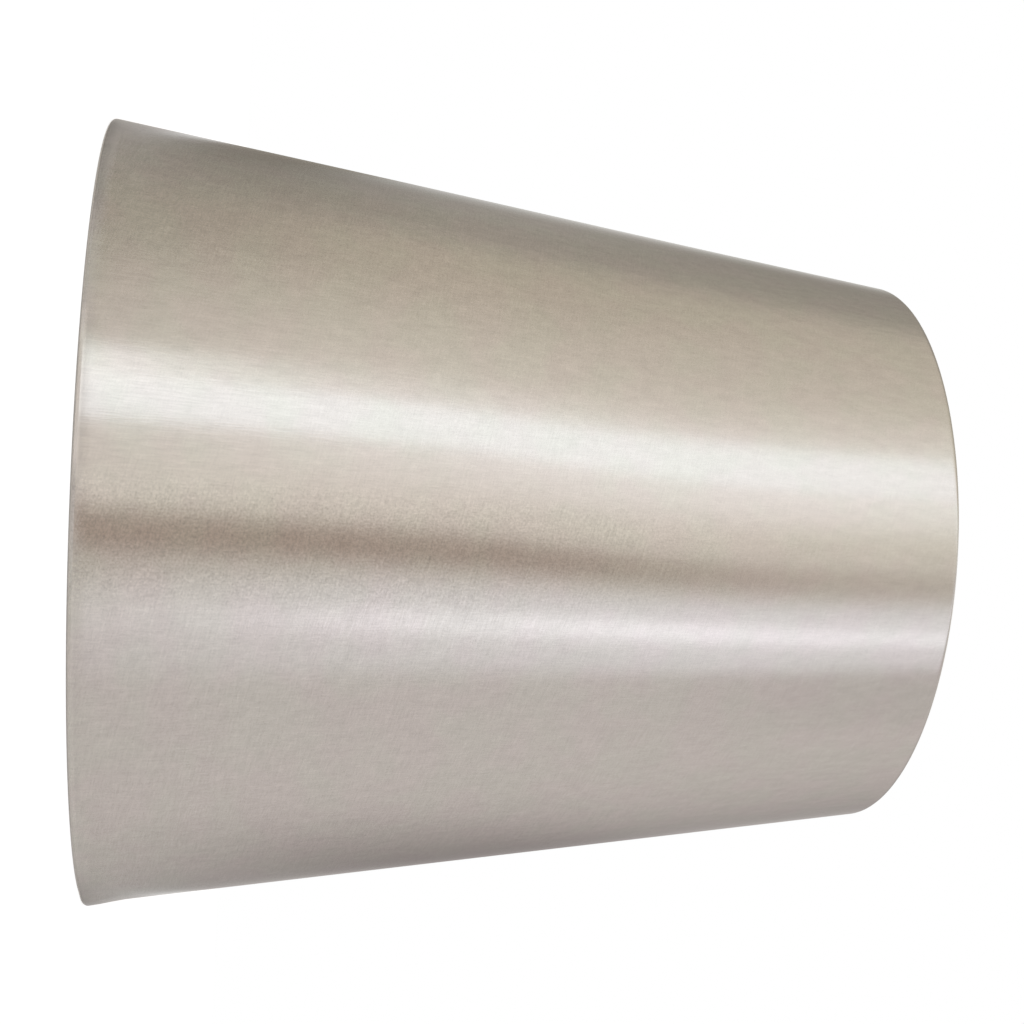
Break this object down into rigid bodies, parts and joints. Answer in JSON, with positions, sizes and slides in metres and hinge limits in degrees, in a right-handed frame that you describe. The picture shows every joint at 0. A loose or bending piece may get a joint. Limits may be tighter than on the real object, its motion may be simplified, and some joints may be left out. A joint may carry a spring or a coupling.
{
  "type": "concentric pipe reducer",
  "caption": "Concentric pipe reducer: straight conical stainless tube wall, brushed outside, with square-cut ends for butt welding between a larger and a smaller tube.",
  "frame": {"origin": "centre of the large end's face, on the axis", "axes": "+Z along the axis, from the large end towards the small end; the cone is the same all round, so X and Y are free"},
  "size_m": [0.1014, 0.1014, 0.1048],
  "materials": {
    "brushed_stainless": "brushed satin, with fine hairlines round the cone and faint streaks along it"
  },
  "bodies": {
    "root": {"reducer": "brushed_stainless"}
  },
  "joints": []
}
